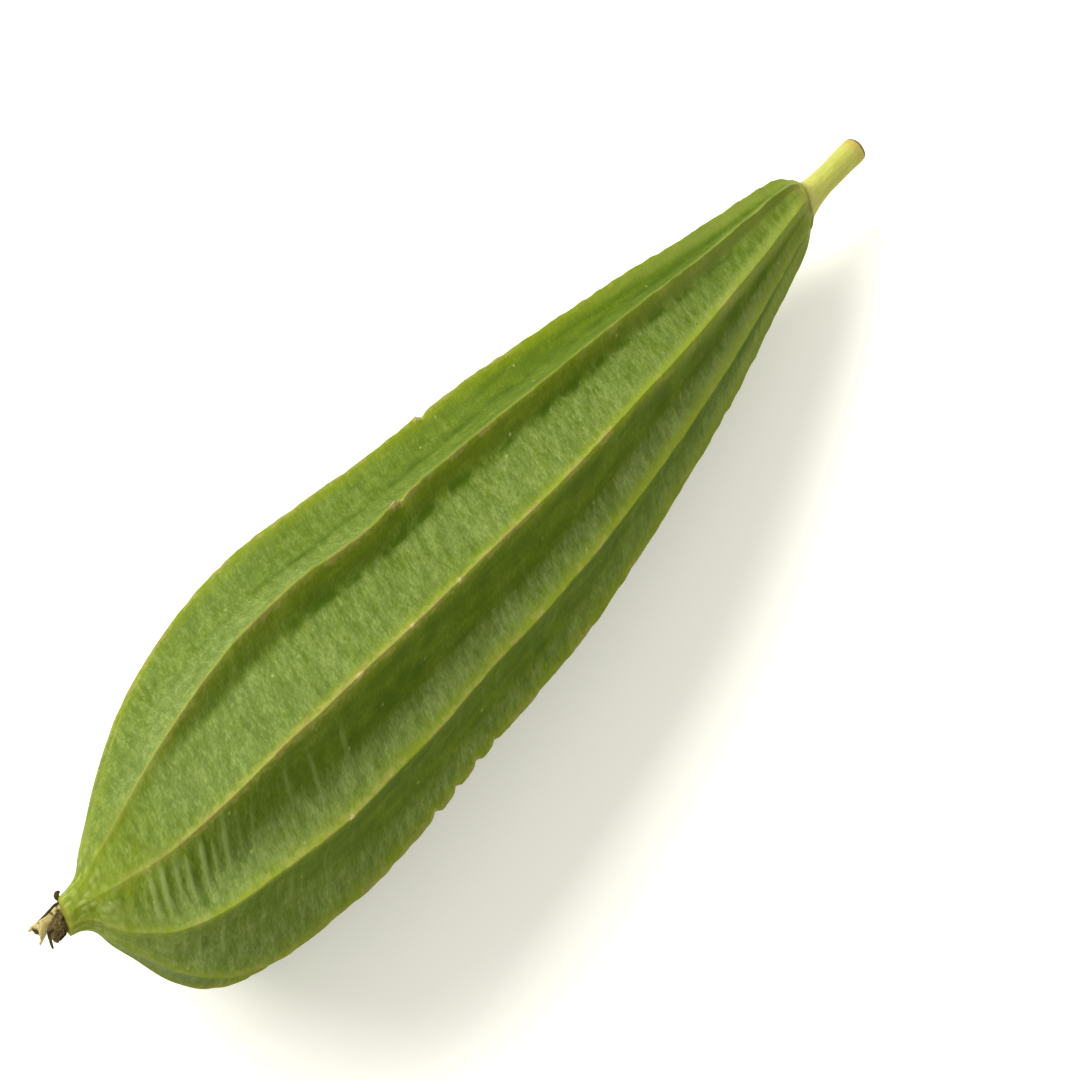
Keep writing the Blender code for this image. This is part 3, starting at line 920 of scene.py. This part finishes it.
stemFinish = {
    "pale": (0.470, 0.480, 0.070),
    "straw": (0.550, 0.530, 0.135),
    "olive": (0.230, 0.250, 0.030),
    "joint": (0.400, 0.350, 0.070),
    "rimGreen": (0.160, 0.195, 0.012),
    "cutOrange": (0.430, 0.270, 0.055),
    "cutBrown": (0.190, 0.110, 0.025),
    "gloss": 0.2,
    "patches": {"cloudy": (4.0, 2.5)},
    "streaks": {"fibres": (7.0, 0.42, 3.0), "fine": (2.5, 0.18, 2.5)},
    "flecks": {"heart": (0.9, 0.9, 0.3, 0.7)},
    "fineStrength": 0.35,
    "cloudyStrength": 0.25,
    "insideStrength": 0.6,
    # ramps as in the skin's finish: mm along the stem, then shares of the way into the cut
    "jointFade": (2.5, 0.0, 0.0, 0.6),
    "rimFade": (0.2, -1.5, 0.0, 0.9),
    "orangeFade": (16.5, 21.5, 0.0, 0.9),
    "orangePatches": (0.0, 0.8, 0.35, 1.0),
    "cutRimStart": (0.2, 0.5, 0.0, 1.0),
    "cutRimEnd": (0.75, 0.55, 0.0, 1.0),
    "insideFade": (0.55, 0.7, 0.0, 1.0),
    "rough": (0.0, 1.0, 0.45, 0.65),  # by the fibres
    "bump": (0.6, 0.15),
}


def stemSurface():
    curve = smoothCurve(stemShape["stations"], stemShape["curveSteps"])
    curve = evenRows(curve, stemShape["rings"])
    angle = np.arange(stemShape["sides"])[None] * math.tau / stemShape["sides"]
    angle = np.repeat(angle, len(curve), axis=0)
    x, radius, bow = (column[:, None] + 0 * angle for column in curve.T)
    reach = radius * (1 + stemShape["ribHeight"] * np.cos(stemShape["ribs"] * angle))
    for name, seed in (("striations", 51), ("lumps", 52)):
        height, length, width, girth = stemShape[name]
        place = [x / length, girth * np.sin(angle) / width, girth * np.cos(angle) / width]
        reach = reach + height * fractalNoise(np.stack(place, axis=-1), seed, octaves=2)
    fade = np.exp(-np.maximum(x, 0) / stemShape["leanFade"])
    lean = stemShape["cutLean"] + (fruitShape["lean"] - stemShape["cutLean"]) * fade
    radial = across(angle)
    strand = np.stack([x, reach * radial[..., 1], reach * radial[..., 2]], axis=-1)
    points = strand.copy()
    points[..., 0] += fruitShape["stations"][-1][0]
    points[..., 0] -= lean * ((reach[..., None] * radial) @ leanSide)
    points[..., 1] -= bow

    # the cut face, in from its rim
    shares = np.linspace(0, stemShape["cutReach"], stemShape["cutRings"] + 1)[1:, None, None]
    middle = points[-1].mean(axis=0)
    face = points[-1] + (middle - points[-1]) * shares
    sunk = np.minimum(shares[..., 0] * stemShape["dishSlope"], 1)
    face[..., 0] -= stemShape["cutDish"] * np.sin(sunk * math.pi / 2)
    height, size = stemShape["cutLumps"]
    face[..., 0] += height * fractalNoise(face / size, seed=53, octaves=2)
    inner = strand[-1] * np.array([1, 0, 0]) + strand[-1] * np.array([0, 1, 1]) * (1 - shares)
    # 0 along the stem, 0.5 at the rim of the cut and 1 in its middle
    edge, fadeLength = stemShape["cutEdge"]
    outer = np.clip((x - edge) / fadeLength, 0, 0.5)
    masks = {
        "strand": np.concatenate([strand, inner]),
        "cut": np.concatenate([outer, np.broadcast_to(0.5 + 0.5 * shares[..., 0], face.shape[:2])]),
    }
    return np.concatenate([points, face]), masks


def stemMaterial():
    look = stemFinish
    material, tree, shader = newMaterial("stem", **{"Specular IOR Level": look["gloss"]})
    strand = attribute(tree, "strand", "Vector")
    cut = attribute(tree, "cut")
    along = addNode(tree, "ShaderNodeSeparateXYZ", {0: strand}).outputs["X"]
    masks, heights = patterns(tree, look, strand)

    def shaped(value, name):
        return ramp(tree, value, *look[name])

    def paint(under, share, name):
        return mixColour(tree, share, under, look[name])

    colour = mixColour(tree, masks["fibres"], look["pale"], look["straw"])
    colour = paint(colour, times(tree, masks["fine"], look["fineStrength"]), "olive")
    colour = paint(colour, times(tree, masks["cloudy"], look["cloudyStrength"]), "olive")
    colour = paint(colour, shaped(along, "jointFade"), "joint")
    colour = paint(colour, shaped(along, "rimFade"), "rimGreen")
    orange = times(tree, shaped(along, "orangeFade"), shaped(masks["cloudy"], "orangePatches"))
    colour = paint(colour, orange, "cutOrange")
    rim = times(tree, shaped(cut, "cutRimStart"), shaped(cut, "cutRimEnd"))
    colour = paint(colour, rim, "cutBrown")
    inside = shaped(cut, "insideFade")
    colour = paint(colour, times(tree, inside, look["insideStrength"]), "cutOrange")
    colour = paint(colour, times(tree, inside, masks["heart"]), "cutBrown")
    tree.links.new(colour, shader.inputs["Base Color"])
    tree.links.new(shaped(masks["fibres"], "rough"), shader.inputs["Roughness"])
    strength, distance = look["bump"]
    height = plus(tree, heights["fibres"], heights["fine"])
    bumpNormal(tree, shader, height, strength, distance * mm)
    return material


stemPoints, stemMasks = stemSurface()
stem = loftMesh("stem_stub", inWorld(stemPoints), stemMasks)
standFor(stem, "stem", stemMaterial())


# the dried flower: distance along the axis (it hangs past the blossom end), distance sideways,
# distance towards the upper face, half width, half thickness, in mm
driedShape = {
    "floralTube": (
        (1.40, -1.8, 0.0, 1.00, 0.80), (-0.3, -2.2, 0.1, 0.95, 0.75),
        (-1.8, -2.1, 0.1, 0.88, 0.65), (-3.2, -1.95, 0.2, 1.05, 0.60),
        (-4.6, -1.80, 0.2, 1.45, 0.75), (-5.6, -1.65, 0.1, 1.80, 0.95),
        (-6.4, -1.50, 0.0, 1.95, 0.85),
    ),
    "sepalStrip": (
        (1.9, -2.7, 0.0, 0.25, 0.50), (0.1, -3.1, 0.0, 0.36, 0.60), (-1.2, -3.0, 0.0, 0.38, 0.60),
        (-3.0, -2.95, 0.1, 0.34, 0.50), (-4.8, -3.1, 0.0, 0.18, 0.25),
    ),
    "sepalHook": (
        (2.7, -3.1, 0.0, 0.45, 0.50), (2.0, -3.35, 0.0, 0.50, 0.55), (1.6, -3.85, 0.1, 0.60, 0.55),
        (1.75, -4.35, 0.1, 0.60, 0.50), (2.25, -4.6, 0.1, 0.48, 0.45), (2.8, -4.5, 0.1, 0.26, 0.30),
    ),
    "sepalThread": (
        (-4.4, -0.6, 0.2, 0.34, 0.30), (-5.3, 0.9, 0.3, 0.34, 0.30), (-6.0, 2.1, 0.3, 0.32, 0.28),
        (-6.4, 3.0, 0.3, 0.20, 0.18),
    ),
    "curveSteps": 12,  # from one station to the next
    "tubeRings": 60,
    "sepalRings": 36,
    "sides": 48,
    "teeth": 0.8,  # mm
    "tearStart": 0.6,  # share of the length from which a torn end is drawn out
    # degrees round from the side by the petals towards the upper face, spread, length in mm
    "longTeeth": ((10.0, 30.0, 1.6), (185.0, 24.0, 0.6), (95.0, 25.0, -0.8)),
    "wrinkle": 0.16,  # share of the half thickness
    "wrinkles": (1.9, 4.0),  # cells of noise round a strand and along it
    "strandScale": 1.6,  # mm of fibre pattern to a station, or to half the lump of petals
    "hollowWidth": 0.72,  # share of the tube's outside
    "hollowDepth": 0.45,  # share of the tube's length
}

driedFinish = {
    "straw": (0.560, 0.500, 0.200),
    "tan": (0.330, 0.230, 0.070),
    "olive": (0.115, 0.085, 0.018),
    "brown": (0.065, 0.043, 0.010),
    "black": (0.022, 0.017, 0.006),
    "gloss": 0.25,
    "patches": {"cloudy": (1.4, 3.0)},
    "streaks": {"fibres": (2.2, 0.22, 3.0)},
    "undersideFade": (0.2, -0.2),  # mm above and below the strand's middle
    "darkStrength": 0.9,
    "rough": (0.0, 1.0, 0.7, 0.95),  # by the patches
    "bump": (0.7, 0.15),
}


def blossomPoint(x, sideways, facewards):
    x, sideways, facewards = (np.asarray(value)[..., None] for value in (x, sideways, facewards))
    middle = np.array([0, -fruitShape["stations"][0][2], 0]) + x * np.array([1, 0, 0])
    return middle + sideways * leanSide + facewards * faceSide


def driedRings(stations, ringCount, seed, torn=False):
    # oval rings square to their path, shrivelled lengthwise; a torn end runs out in teeth
    curve = evenRows(smoothCurve(stations, driedShape["curveSteps"]), ringCount)
    middles = blossomPoint(*curve.T[:3])
    along = np.gradient(middles, axis=0)
    along /= np.linalg.norm(along, axis=1)[:, None]
    side = np.cross(faceSide, along)
    side /= np.linalg.norm(side, axis=1)[:, None]
    out = np.cross(along, side)
    sides = driedShape["sides"]
    angle = np.arange(sides) * math.tau / sides
    t = np.linspace(0, 1, ringCount)[:, None]
    around = np.stack([np.cos(angle), np.sin(angle)], axis=-1)[None] + 0 * t[..., None]
    cellsRound, cellsAlong = driedShape["wrinkles"]
    lengthwise = t[..., None] * cellsAlong + 0 * around[..., :1]
    noisePlace = np.concatenate([around * cellsRound, lengthwise], axis=-1)
    swell = 1 + driedShape["wrinkle"] * fractalNoise(noisePlace, seed)
    width = curve[:, 3][:, None] * swell * np.cos(angle)
    thickness = curve[:, 4][:, None] * swell * np.sin(angle)
    rings = middles[:, None] + width[..., None] * side[:, None]
    rings = rings + thickness[..., None] * out[:, None]
    if torn:
        tearPlace = noisePlace[-1] * [1, 1, 0] + 3
        teeth = driedShape["teeth"] * fractalNoise(tearPlace, seed + 5, octaves=2)
        for where, spread, length in driedShape["longTeeth"]:
            apart = (angle - math.radians(where) + math.pi) % math.tau - math.pi
            teeth = teeth + length * bump(apart, 0, math.radians(spread))
        start = driedShape["tearStart"]
        reach = np.clip(t - start, 0, 1) / (1 - start) * teeth[None]
        rings = rings + reach[..., None] * along[:, None]
    length = t * len(stations) * driedShape["strandScale"]
    strand = np.stack([length + 0 * angle, width, thickness], axis=-1)
    return rings, strand


def driedMaterial(name, main, under, dark, darkShare, underside=0.0):
    # main, under and dark are colours in the finish
    look = driedFinish
    material, tree, shader = newMaterial(name, **{"Specular IOR Level": look["gloss"]})
    strand = attribute(tree, "strand", "Vector")
    masks, heights = patterns(tree, look, strand)
    colour = mixColour(tree, masks["fibres"], look[main], look[under])
    if underside:
        height = addNode(tree, "ShaderNodeSeparateXYZ", {0: strand}).outputs["Z"]
        shaded = ramp(tree, height, *look["undersideFade"], 0.0, underside)
        colour = mixColour(tree, shaded, colour, look[dark])
    darkened = ramp(tree, masks["cloudy"], 1 - darkShare, 1.0, 0.0, look["darkStrength"])
    colour = mixColour(tree, darkened, colour, look[dark])
    tree.links.new(colour, shader.inputs["Base Color"])
    tree.links.new(ramp(tree, masks["cloudy"], *look["rough"]), shader.inputs["Roughness"])
    strength, distance = look["bump"]
    bumpNormal(tree, shader, heights["fibres"], strength, distance * mm)
    return material


def floralTube():
    count = driedShape["tubeRings"]
    outside, strand = driedRings(driedShape["floralTube"], count, seed=61, torn=True)
    # the wall turns in at the torn mouth and runs back up the hollow
    back = int(count * driedShape["hollowDepth"])
    middles = outside.mean(axis=1, keepdims=True)
    share = driedShape["hollowWidth"]
    inside = (middles + (outside - middles) * share)[-back:][::-1]
    insideStrand = (strand * [1, share, share])[-back:][::-1]
    return np.concatenate([outside, inside]), {"strand": np.concatenate([strand, insideStrand])}


tubePoints, tubeMasks = floralTube()
tube = loftMesh("dried_flower_tube", inWorld(tubePoints), tubeMasks)
strawMaterial = driedMaterial("dried_flower", "straw", "tan", "brown", 0.4, underside=0.7)
standFor(tube, "floral_tube", strawMaterial)

sepalMaterial = driedMaterial("withered_sepal", "brown", "black", "black", 0.6)
sepals = (("sepalStrip", "sepal_strip"), ("sepalHook", "sepal_hook"),
          ("sepalThread", "sepal_thread"))
for seed, (shape, node) in enumerate(sepals, start=70):
    sepalPoints, sepalStrand = driedRings(driedShape[shape], driedShape["sepalRings"], seed)
    sepal = loftMesh("dried_" + node, inWorld(sepalPoints), {"strand": sepalStrand})
    standFor(sepal, node, sepalMaterial)


petalShape = {
    "middle": (-2.40, 0.60, 0.0),  # mm along, sideways, towards the upper face
    "halfSize": (2.30, 2.00, 1.9),
    "crumple": 0.34,
    "folds": 1.7,  # cells of noise to half the lump
    "creaseHeight": 0.10,
    "creases": 3.9,
    "detail": 6,
}


def witheredPetals():
    bm = bmesh.new()
    bmesh.ops.create_icosphere(bm, subdivisions=petalShape["detail"], radius=1.0)
    mesh = bpy.data.meshes.new("withered_petals_lump")
    bm.to_mesh(mesh)
    bm.free()
    sphere = np.zeros(len(mesh.vertices) * 3)
    mesh.vertices.foreach_get("co", sphere)
    sphere = sphere.reshape(-1, 3)
    folds = 1 - 2 * np.abs(fractalNoise(sphere * petalShape["folds"], seed=81))
    creases = 1 - 2 * np.abs(fractalNoise(sphere * petalShape["creases"], seed=82, octaves=2))
    swell = 1 + petalShape["crumple"] * (folds - 0.5) + petalShape["creaseHeight"] * creases
    crumpled = sphere * swell[:, None]
    x, side, face = petalShape["middle"]
    halfX, halfSide, halfFace = petalShape["halfSize"]
    u, v, w = crumpled.T
    side = side + v * halfSide
    points = blossomPoint(x + u * halfX - fruitShape["lean"] * side, side, face + w * halfFace)
    mesh.vertices.foreach_set("co", inWorld(points).ravel())
    strand = mesh.attributes.new("strand", "FLOAT_VECTOR", "POINT")
    strand.data.foreach_set("vector", np.ravel(crumpled * driedShape["strandScale"]))
    mesh.shade_smooth()
    piece = bpy.data.objects.new("withered_petals_lump", mesh)
    bpy.context.scene.collection.objects.link(piece)
    return piece


petalMaterial = driedMaterial("withered_petals", "olive", "brown", "black", 0.5)
standFor(witheredPetals(), "withered_petals", petalMaterial)


cameraView = {
    "turn": -49.27,  # degrees; 0 looks along +y
    "elevation": 64.0,
    "distance": 695.1,  # mm
    "aim": (128.8, 0.19, 0.06),  # mm, in the fruit's own frame
    "offset": (13.52, -5.76),  # mm to the right and up
    "lens": 105.0,
    "sensor": 36.0,
    "clip": (0.01, 50.0),  # m
}


def makeCamera():
    turnAngle, elevation = math.radians(cameraView["turn"]), math.radians(cameraView["elevation"])
    right = np.array([math.cos(turnAngle), math.sin(turnAngle), 0])
    back = np.array([math.sin(turnAngle) * math.cos(elevation),
                     -math.cos(turnAngle) * math.cos(elevation), math.sin(elevation)])
    up = np.cross(back, right)
    moveRight, moveUp = cameraView["offset"]
    location = inWorld(cameraView["aim"])
    location = location + (back * cameraView["distance"] + right * moveRight + up * moveUp) * mm
    data = bpy.data.cameras.new("camera")
    data.lens = cameraView["lens"]
    data.sensor_width = cameraView["sensor"]
    data.clip_start, data.clip_end = cameraView["clip"]
    camera = bpy.data.objects.new("camera", data)
    axes = Matrix((right, up, back)).transposed().to_4x4()
    camera.matrix_world = Matrix.Translation(Vector(location)) @ axes
    bpy.context.scene.collection.objects.link(camera)
    bpy.context.scene.camera = camera
    return right, up, back


studio = {
    "floorRadius": 4.0,  # m
    "floorSides": 96,
    "floorColour": (0.93, 0.91, 0.83),
    "floorRoughness": 0.8,
    "floorGloss": 0.1,
    "worldColour": (1.0, 0.995, 0.98),
    "worldStrength": 0.5,
    "floorGlow": 0.21,  # lifts the shadow on the floor, as a white sweep does
    # toward the light as shares of the camera's right, up and back; distance, length along the
    # gourd and width in m; power in W
    "lights": (
        ("key", (-0.60, 0.62, 0.50), 1.1, 1.3, 0.65, 20.0),
        ("fill", (0.5, 0.0, 1.0), 1.4, 1.2, 1.2, 5.5),
    ),
}


def makeStudio(right, up, back):
    bpy.ops.mesh.primitive_circle_add(vertices=studio["floorSides"], fill_type="NGON",
                                      radius=studio["floorRadius"])
    floor = bpy.context.object
    floor.name = "floor"
    material, tree, shader = newMaterial("floor", **{
        "Roughness": studio["floorRoughness"], "Specular IOR Level": studio["floorGloss"],
    })
    shader.inputs["Base Color"].default_value = (*studio["floorColour"], 1.0)
    shader.inputs["Emission Color"].default_value = (*studio["floorColour"], 1.0)
    seen = addNode(tree, "ShaderNodeLightPath").outputs["Is Camera Ray"]
    tree.links.new(times(tree, seen, studio["floorGlow"]), shader.inputs["Emission Strength"])
    floor.data.materials.append(material)

    world = bpy.data.worlds.new("studio")
    world.use_nodes = True
    background = world.node_tree.nodes["Background"]
    background.inputs["Color"].default_value = (*studio["worldColour"], 1.0)
    background.inputs["Strength"].default_value = studio["worldStrength"]
    bpy.context.scene.world = world

    gourdAxis = Vector(inWorld((1, 0, 0)) - inWorld((0, 0, 0)))
    for name, direction, distance, length, width, power in studio["lights"]:
        data = bpy.data.lights.new(name, "AREA")
        data.shape = "RECTANGLE"
        data.size, data.size_y = length, width
        data.energy = power
        rightShare, upShare, backShare = direction
        towards = Vector(rightShare * right + upShare * up + backShare * back).normalized()
        side = towards.cross(gourdAxis).normalized()
        axes = Matrix((side.cross(towards), side, towards)).transposed().to_4x4()
        light = bpy.data.objects.new(name, data)
        light.matrix_world = Matrix.Translation(towards * distance) @ axes
        bpy.context.scene.collection.objects.link(light)
    bpy.context.scene.view_settings.view_transform = "Standard"


makeStudio(*makeCamera())
print("camera and studio set")
